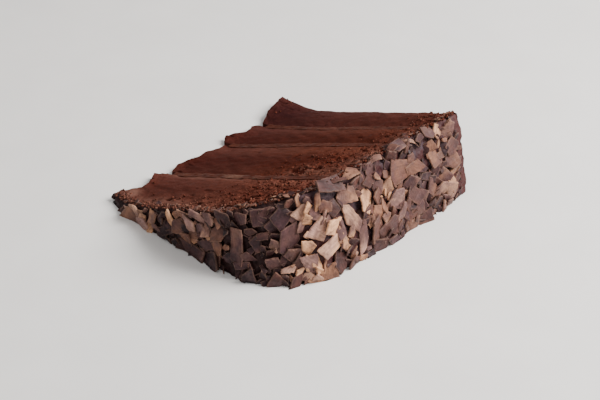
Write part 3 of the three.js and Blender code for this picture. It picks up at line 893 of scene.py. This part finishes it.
def free_place(size, spacing, taken, draw, stretch):
    along = lerp(stretch[0], stretch[1] - size * 0.4, draw())
    across = draw() * SIDE_RADIUS * math.sin(SLICE_ANGLE)
    height = face_height(coat_outside(along, 1)[0], COAT_BLUNT)
    for other in taken:
        gap = math.hypot(other["along"] - along, other["across"] - across)
        if gap <= max(spacing, other["reach"]):
            return None
    if across > height - size * FLAKE_INSET:
        return None
    return coat_place(along, across / height)


def laid_flake(outline, size, place, spin, lean, lifts, tilt_limit, draw):
    """A flake's outline, size, rotation and centre on the frosting."""
    share = place["share"]
    distance, depth, turn = (float(v) for v in coat_outside(place["along"], share))
    angle = share * SLICE_ANGLE
    around = Vector((-math.sin(angle), 0, math.cos(angle)))
    along = Vector((math.cos(turn) * math.cos(angle), math.sin(turn), math.cos(turn) * math.sin(angle)))
    outward = along.cross(around)
    tilt = min(tilt_limit, 2 * FLAKE_RISE / size)
    tilt_along = lean + tilt * (2 * draw() - 1)
    tilt_around = tilt * (2 * draw() - 1)
    turned = Euler((tilt_along, tilt_around, spin), "ZYX").to_matrix()
    centre = slice_point(distance, depth, share, face_height(distance, COAT_BLUNT))
    centre = centre + np.array(outward) * lerp(*lifts, draw())
    basis = Matrix((along, around, outward)).transposed()
    rotation = np.array(basis @ turned)
    return {"outline": outline, "size": size, "rotation": rotation, "centre": centre, "place": place}


def placed_flake(along, share, length, width, spin, lean, tone, lifts, tilt, draw):
    outline = shard_outline(length, width, draw, 0.5)
    place = coat_place(along, share, PLACED_REACH * length + 1)
    turns = math.radians(spin), math.radians(lean)
    return {**laid_flake(outline, length, place, *turns, lifts, tilt, draw), "tone": tone}


def placed_curls(draw):
    curls = []
    for *form, bend, tone in CURLS:
        curls.append({**placed_flake(*form, tone, CURL_LIFT, CURL_TILT, draw), "bend": bend})
    return curls


def scattered_flakes(taken, draw, count, lengths, spacing, lifts=FLAKE_LIFT, tilt=FLAKE_TILT,
                     stretch=WHOLE_OUTLINE):
    flakes = []
    for _ in range(count):
        size = lerp(*lengths, draw())
        tries = (free_place(size, spacing, taken, draw, stretch) for _ in range(FLAKE_TRIES))
        place = next(filter(None, tries), None)
        if not place:
            continue
        outline = random_shard(size, draw)
        spin = 2 * math.pi * draw()
        taken.append(place)
        flakes.append(laid_flake(outline, size, place, spin, 0, lifts, tilt, draw))
    return flakes


def edge_chips(count, lengths, draw):
    """Chips lying on the band of frosting at the upper cut face."""
    chips = []
    for _ in range(count):
        size = lerp(*lengths, draw())
        along = lerp(*WHOLE_OUTLINE, draw() ** 0.6)
        inward = lerp(0.15, 1.25, draw())
        lift = lerp(0.1, 0.8, draw())
        centre = within_coat(coat_outside(along, 1), coat_inside(along), inward, 1, lift)
        outline = random_shard(size, draw)
        lean = Euler((draw() - 0.5, draw() - 0.5 - SLICE_ANGLE, 2 * math.pi * draw()), "ZYX").to_matrix()
        chip = {"outline": outline, "size": size, "rotation": np.array(lean), "centre": centre}
        lightness = np.interp(along, *zip(*CHIP_TONES))
        chips.append({**chip, "tone": lightness * draw() ** 1.5, "cool": 0})
    return chips


def shard_rings(outline, thickness, edge, generator):
    """A shard's points in rings from its under side to its upper side, and their number in a ring."""
    ring = []
    for start, end in zip(outline, np.roll(outline, -1, 0)):
        side = end - start
        span = np.linalg.norm(side)
        steps = max(2, round(span / edge))
        outward = np.array([side[1], -side[0]]) / max(span, 1e-6)
        for step in range(steps):
            jag = generator.uniform(-1, 1) * 0.2 * edge if step else 0
            ring.append(start + side * step / steps + outward * jag)
    ring = np.array(ring)
    ring = 0.88 * ring + 0.06 * (np.roll(ring, 1, 0) + np.roll(ring, -1, 0))
    reach = np.linalg.norm(ring, axis=1, keepdims=True)
    rings = []
    for inset, level in RIM_SECTION:
        flat = ring * (1 - inset * RIM_BEVEL * thickness / reach)
        rings.append(np.column_stack([flat, np.full(len(flat), level * thickness)]))
    rings.append(np.column_stack([0.5 * ring, np.full(len(ring), 0.5 * thickness)]))
    return np.concatenate(rings), len(ring)


def shard_faces(count, first):
    """Faces between the rings of a shard whose points start at first, and its two ends."""
    faces = []
    top = first + len(RIM_SECTION) * count
    for low in range(first, top, count):
        for k in range(count):
            here, after = low + k, low + (k + 1) % count
            faces.append([here, after, after + count, here + count])
    faces.append([first + k for k in reversed(range(count))])
    faces.append([top + k for k in range(count)])
    return faces


def flake_tone(flake, mean, spread, generator):
    """How light a flake is: its own tone, with painted shade at the cake's top edge and along the upper
    cut face, and painted light where the top edge turns to the side.
    """
    if "tone" in flake:
        return flake["tone"]
    place = flake["place"]
    mean += np.interp(place["along"], *zip(*TONES_ALONG))
    by_edge = place["along"] > EDGE_SHADE_START[0] and place["share"] > EDGE_SHADE_START[1]
    mean -= EDGE_SHADE * by_edge
    for along, share, reach, shift in TONE_AREAS:
        middle = coat_place(along, share)
        mean += shift * (math.hypot(place["along"] - along, place["across"] - middle["across"]) < reach)
    spread *= np.interp(place["along"], *zip(*TONE_SPREAD))
    return np.clip(generator.normal(mean, spread), 0, 1)


def flake_marks(flake, rings, count, tones, generator):
    """How light and how cool each point of a flake is, and where its rim gets a painted highlight."""
    tone = flake_tone(flake, *tones, generator)
    cool = generator.normal(0.35, 0.42) + 0.4 * (0.5 - tone) + 0.2 * (flake["centre"][1] < 8)
    slope = generator.normal(0, 0.1) * 2 * rings[:, 0] / flake["size"]
    clouds = smooth_noise(rings + generator.uniform(0, NOISE_ROOM, 3), 3.5, 62)
    tinged = np.clip(cool * flake.get("cool", 1) - 0.4 * clouds, 0, 1)
    # Painted highlight on the rim, below the flake's top face
    rim_highlight = np.arange(len(rings)) // count < len(RIM_SECTION) - 1
    return np.column_stack([tone + slope + 0.15 * clouds, tinged, rim_highlight])


def flake_grain(flake, rings, generator):
    """Places for a flake's streaks: along it where its tone is given, or else at any turn."""
    turn = 0 if "tone" in flake else generator.uniform(0, 2 * math.pi)
    spin = np.array([[math.cos(turn), -math.sin(turn)], [math.sin(turn), math.cos(turn)]])
    return rings[:, :2] @ spin.T + generator.uniform(0, NOISE_ROOM, 2)


def add_grain_map(mesh, grain):
    uv = mesh.uv_layers.new(name="grain")
    corners = np.zeros(len(mesh.loops), np.int32)
    mesh.loops.foreach_get("vertex_index", corners)
    uv.data.foreach_set("uv", grain[corners].astype(np.float32).ravel())


def build_flakes(name, flakes):
    look, seed, thickness, edge, tones, curl = FLAKE_KINDS[name]
    generator = np.random.default_rng(seed)
    points, faces, marks, grain = [], [], [], []
    first = 0
    for flake in flakes:
        flake_thickness = thickness * generator.uniform(0.8, 1.05)
        rings, count = shard_rings(flake["outline"], flake_thickness, edge, generator)
        bend = flake.get("bend", generator.uniform(-1, 1) * curl)
        uneven = smooth_noise(rings + generator.uniform(0, NOISE_ROOM, 3), 2.5, 61)
        rings[:, 2] += bend * (rings[:, 0] ** 2 - flake["size"] ** 2 / 16) + 0.15 * uneven
        marks.append(flake_marks(flake, rings, count, tones, generator))
        grain.append(flake_grain(flake, rings, generator))
        points.append(rings @ flake["rotation"].T + flake["centre"])
        faces += shard_faces(count, first)
        first += len(rings)
    points = np.concatenate(points)
    points[:, 2] = np.maximum(points[:, 2], 0)
    marks = dict(zip(("tone", "cool", "rim_highlight"), np.concatenate(marks).T))
    piece = add_mesh(name, points, faces, flake_material(look), marks=marks)
    piece.data.set_sharp_from_angle(angle=math.radians(32))
    add_grain_map(piece.data, np.concatenate(grain))


def ease_reach(places, share):
    for place in places:
        place["reach"] *= share


def build_all_flakes():
    """The solids' own flakes, then the smaller ones between them."""
    draw = seeded_random(FLAKE_SEED)
    bare = [coat_place(*patch) for patch in BARE_PATCHES]
    taken = bare.copy()
    large = [placed_flake(*flake, PLACED_LIFT, FLAKE_TILT, draw) for flake in PLACED_FLAKES]
    placed = [flake["place"] for flake in large]
    taken += placed
    for count, lengths, spacing in FLAKE_SORTS:
        large += scattered_flakes(taken, draw, count, lengths, spacing)
    build_flakes("large_flakes", large)
    ease_reach(placed, PLACED_EASE)
    draw = seeded_random(SMALL_FLAKE_SEED)
    build_flakes("medium_flakes", scattered_flakes(taken, draw, **MEDIUM_FLAKES))
    ease_reach(bare, BARE_EASE)
    small = scattered_flakes(taken, draw, **SMALL_FLAKES)
    chips = edge_chips(**EDGE_CHIPS, draw=seeded_random(CHIP_SEED))
    build_flakes("small_flakes", small + chips)
    curled = scattered_flakes(taken, draw, **SHAVINGS, stretch=SHAVINGS_STRETCH)
    build_flakes("curled_shavings", curled + placed_curls(draw))


# ---------- crumbs

def icosahedron():
    """Corners at a distance of 1 from the middle, and faces."""
    golden = (1 + 5 ** 0.5) / 2
    corners = []
    for a in (-1, 1):
        for b in (-golden, golden):
            corners += [(0, a, b), (a, b, 0), (b, 0, a)]
    corners = np.array(corners) / math.hypot(1, golden)
    faces = []
    edge = 2 / math.hypot(1, golden) + 1e-3
    near = np.linalg.norm(corners[:, None] - corners[None], axis=-1) < edge
    for a, b, c in itertools.combinations(range(len(corners)), 3):
        if near[a, b] and near[b, c] and near[a, c]:
            normal = np.cross(corners[b] - corners[a], corners[c] - corners[a])
            faces.append((a, b, c) if normal @ corners[a] > 0 else (a, c, b))
    return corners, np.array(faces)


def crumb_spots(generator, tries):
    """Places for loose crumbs on the upper cut face: where the crumb is open and on the frosting."""
    spots = []
    for index, (_, tips, blunt) in enumerate(SPONGES):
        along, across = generator.uniform(0.03, 1, tries), generator.uniform(0.02, 0.98, tries)
        found = sponge_point_map(index, tips, blunt)(along, across, np.ones(tries))
        spots.append(found[generator.uniform(size=tries) < 0.6 * (coarseness(found) - 0.2)])
    on_frosting = round(LOOSE_ON_FROSTING * tries)
    length = generator.uniform(0, OUTLINE_END, on_frosting)
    inward = generator.uniform(0.1, 1.2, on_frosting)
    spots.append(within_coat(coat_outside(length, 1), coat_inside(length), inward, 1))
    return np.concatenate(spots)


def build_crumbs(material):
    generator = np.random.default_rng(77)
    corners, triangles = icosahedron()
    spots = crumb_spots(generator, LOOSE_CRUMBS)
    count, sides = len(spots), len(corners)
    spots[:, 2] += generator.uniform(-0.1, 0.45, count)
    sizes = lerp(*LOOSE_SIZES, generator.uniform(size=count) ** 2.2)
    uneven = generator.uniform(0.6, 1.25, (count, sides, 1)) * generator.uniform(0.7, 1.2, (count, 1, 3))
    points = (corners * uneven * sizes[:, None, None] + spots[:, None]).reshape(-1, 3)
    faces = (triangles + sides * np.arange(count)[:, None, None]).reshape(-1, 3)
    band = np.repeat(generator.uniform(0, 1, count), sides)
    near_top = np.repeat(bell(np.maximum(spots[:, 1], 0) / 6), sides)
    marks = {
        "band": band,
        "coarse": np.ones_like(band),
        "hue": np.full_like(band, 0.45),
        "paleness_and_painted_light": 0.3 * band ** 3 + 0.3 * near_top,
        "painted_shade": np.zeros_like(band),
        "pore": np.zeros_like(band),
    }
    add_mesh("loose_crumbs", points, faces, material, marks=marks)


# ---------- studio

def build_floor():
    mesh = bpy.data.meshes.new("floor")
    corners = [(x * FLOOR_REACH, y * FLOOR_REACH, 0) for x, y in ((-1, -1), (1, -1), (1, 1), (-1, 1))]
    mesh.from_pydata(corners, [], [(0, 1, 2, 3)])
    nodes = Nodes("pale_floor")
    mesh.materials.append(nodes.finish(nodes.ramp(nodes.noise(40, 2), FLOOR), 0.55))
    add_object("floor", mesh)


def add_light(name, place, size, power, colour):
    light = bpy.data.lights.new(name, "AREA")
    light.energy = power
    light.size = size
    light.color = colour
    holder = add_object(name, light)
    holder.location = place
    holder.rotation_euler = (Vector(LIGHT_AIM) - Vector(place)).to_track_quat("-Z", "Y").to_euler()


def build_studio():
    build_floor()
    world = bpy.data.worlds.new("soft_surround")
    world.use_nodes = True
    background = world.node_tree.nodes["Background"]
    background.inputs["Color"].default_value = SURROUND
    background.inputs["Strength"].default_value = SURROUND_STRENGTH
    bpy.context.scene.world = world
    for light in LIGHTS:
        add_light(*light)


def build_camera():
    camera = bpy.data.cameras.new("camera")
    camera.lens = CAMERA_LENS
    camera.sensor_width = CAMERA_SENSOR
    camera.clip_start = 0.01
    eye = Vector(CAMERA_EYE)
    sight = (Vector(CAMERA_AIM) - eye).to_track_quat("-Z", "Y").to_matrix()
    turn = sight @ Matrix.Rotation(CAMERA_ROLL, 3, "Z")
    holder = add_object("camera", camera)
    holder.matrix_world = Matrix.Translation((eye + Vector(ORIGIN)) * MM) @ turn.to_4x4()
    bpy.context.scene.camera = holder


def build_slice():
    sponge = sponge_material()
    for index in range(len(SPONGES)):
        build_sponge(index, sponge)
    cream = filling_material()
    for index in range(len(SEAMS)):
        build_filling(index, cream)
    build_frosting(frosting_material())
    build_all_flakes()
    build_crumbs(sponge)


build_slice()
build_studio()
build_camera()
